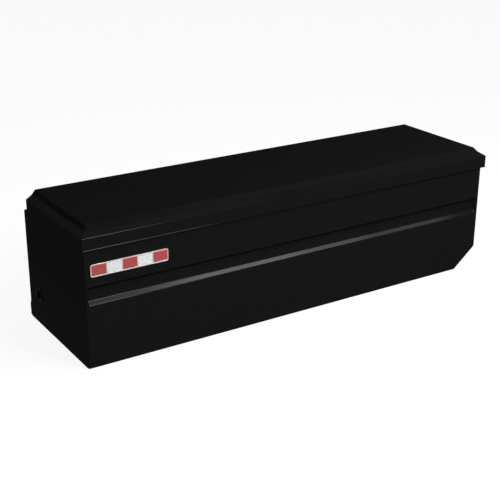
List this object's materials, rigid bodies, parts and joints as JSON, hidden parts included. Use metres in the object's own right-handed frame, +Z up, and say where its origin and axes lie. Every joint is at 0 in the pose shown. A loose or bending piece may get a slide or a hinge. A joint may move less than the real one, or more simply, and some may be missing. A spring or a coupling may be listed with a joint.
{
  "type": "truck tool box",
  "caption": "Long low steel chest tool box for a pickup bed, with a rear-hinged lid on gas struts, hook latches worked by a push button, and one cut lower corner.",
  "frame": {"origin": "middle of the underside of the chest's body, where it stands on the truck bed", "axes": "+X along the chest towards the end with the cut lower corner, -Y towards the front face with the groove, +Y towards the hinge, +Z up"},
  "size_m": [1.597, 0.476, 0.454],
  "materials": {
    "black_coat": "gloss black powder coat",
    "black_tube": "satin black paint",
    "zinc_steel": "zinc plated",
    "plain_steel": "plain steel",
    "bright_chrome": "polished",
    "black_rubber": "matt",
    "lens_red": "reflective",
    "lens_clear": "reflective"
  },
  "bodies": {
    "chest": {"front_panel": "black_coat", "rear_panel": "black_coat", "left_end_panel": "black_coat", "right_end_panel": "black_coat", "floor_panel": "black_coat", "floor_channel_left": "black_coat", "floor_channel_middle": "black_coat", "floor_channel_right": "black_coat", "bolt_sleeves": "zinc_steel", "rear_kick_rail": "black_coat", "corner_gussets": "black_coat", "rim_seal": "black_rubber", "end_plug": "black_rubber", "marker_frame": "zinc_steel", "marker_lenses_red": "lens_red", "marker_lenses_clear": "lens_clear", "hinge_leaf_body": "plain_steel", "hinge_pin": "zinc_steel", "hinge_rivets_body": "zinc_steel", "strut_post_left": "zinc_steel", "strut_post_right": "zinc_steel", "latch_frame_left": "zinc_steel", "latch_frame_right": "zinc_steel", "hook_pin_left": "plain_steel", "hook_pin_right": "plain_steel", "hook_spring_left": "plain_steel", "hook_spring_right": "plain_steel", "rod_guides": "zinc_steel", "lock_housing": "bright_chrome", "lock_nut": "zinc_steel"},
    "lid": {"lid_skin": "black_coat", "lid_pan": "black_coat", "lid_stiffener_left": "zinc_steel", "lid_stiffener_middle": "zinc_steel", "lid_stiffener_right": "zinc_steel", "hinge_leaf_lid": "plain_steel", "hinge_rivets_lid": "zinc_steel", "strut_bracket_left": "zinc_steel", "strut_bracket_right": "zinc_steel", "striker_left": "zinc_steel", "striker_right": "zinc_steel"},
    "strut_tube_l": {"strut_tube_left": "black_tube", "strut_eye_low_left": "zinc_steel", "strut_gland_left": "plain_steel"},
    "strut_tube_r": {"strut_tube_right": "black_tube", "strut_eye_low_right": "zinc_steel", "strut_gland_right": "plain_steel"},
    "strut_rod_l": {"strut_rod_left": "bright_chrome", "strut_eye_top_left": "zinc_steel"},
    "strut_rod_r": {"strut_rod_right": "bright_chrome", "strut_eye_top_right": "zinc_steel"},
    "hook_l": {"latch_hook_left": "zinc_steel"},
    "hook_r": {"latch_hook_right": "zinc_steel"},
    "link": {"latch_rod": "zinc_steel"},
    "button": {"lock_button": "bright_chrome"},
    "key": {"key_cylinder": "plain_steel"}
  },
  "joints": [
    {"name": "lid_hinge", "type": "hinge", "parent": "chest", "child": "lid", "pos_m": [0, 0.1823, 0.3798], "axis": [-1, 0, 0], "range_deg": [0, 70]},
    {"name": "strut_l_turn", "type": "hinge", "parent": "chest", "child": "strut_tube_l", "pos_m": [-0.745, 0.057, 0.185], "axis": [-1, 0, 0], "range_deg": [0, 17]},
    {"name": "strut_l_slide", "type": "slide", "parent": "strut_tube_l", "child": "strut_rod_l", "axis": [0, 0, 1], "range_m": [0, 0.1223]},
    {"name": "strut_r_turn", "type": "hinge", "parent": "chest", "child": "strut_tube_r", "pos_m": [0.745, 0.057, 0.185], "axis": [-1, 0, 0], "range_deg": [0, 17]},
    {"name": "strut_r_slide", "type": "slide", "parent": "strut_tube_r", "child": "strut_rod_r", "axis": [0, 0, 1], "range_m": [0, 0.1223]},
    {"name": "button_push", "type": "slide", "parent": "chest", "child": "button", "axis": [-1, 0, 0], "range_m": [0, 0.008], "stiffness_N_per_m": 800, "springref_m": -0.005},
    {"name": "link_slide", "type": "slide", "parent": "chest", "child": "link", "axis": [-1, 0, 0], "range_m": [0, 0.008]},
    {"name": "hook_l_turn", "type": "hinge", "parent": "chest", "child": "hook_l", "pos_m": [-0.56, -0.18, 0.344], "axis": [0, 1, 0], "range_deg": [0, 19.1]},
    {"name": "hook_r_turn", "type": "hinge", "parent": "chest", "child": "hook_r", "pos_m": [0.56, -0.18, 0.344], "axis": [0, 1, 0], "range_deg": [0, 19.1]},
    {"name": "key_turn", "type": "hinge", "parent": "button", "child": "key", "pos_m": [0.79, -0.172, 0.32], "axis": [1, 0, 0], "range_deg": [0, 90]}
  ],
  "couplings": [
    {"joint": "strut_l_turn", "follows": "lid_hinge", "ratio": 0.24188},
    {"joint": "strut_l_slide", "follows": "lid_hinge", "m_per_rad": 0.09997},
    {"joint": "strut_r_turn", "follows": "lid_hinge", "ratio": 0.24188},
    {"joint": "strut_r_slide", "follows": "lid_hinge", "m_per_rad": 0.09997},
    {"joint": "link_slide", "follows": "button_push", "ratio": 1},
    {"joint": "hook_l_turn", "follows": "button_push", "rad_per_m": 41.667},
    {"joint": "hook_r_turn", "follows": "button_push", "rad_per_m": 41.667}
  ]
}
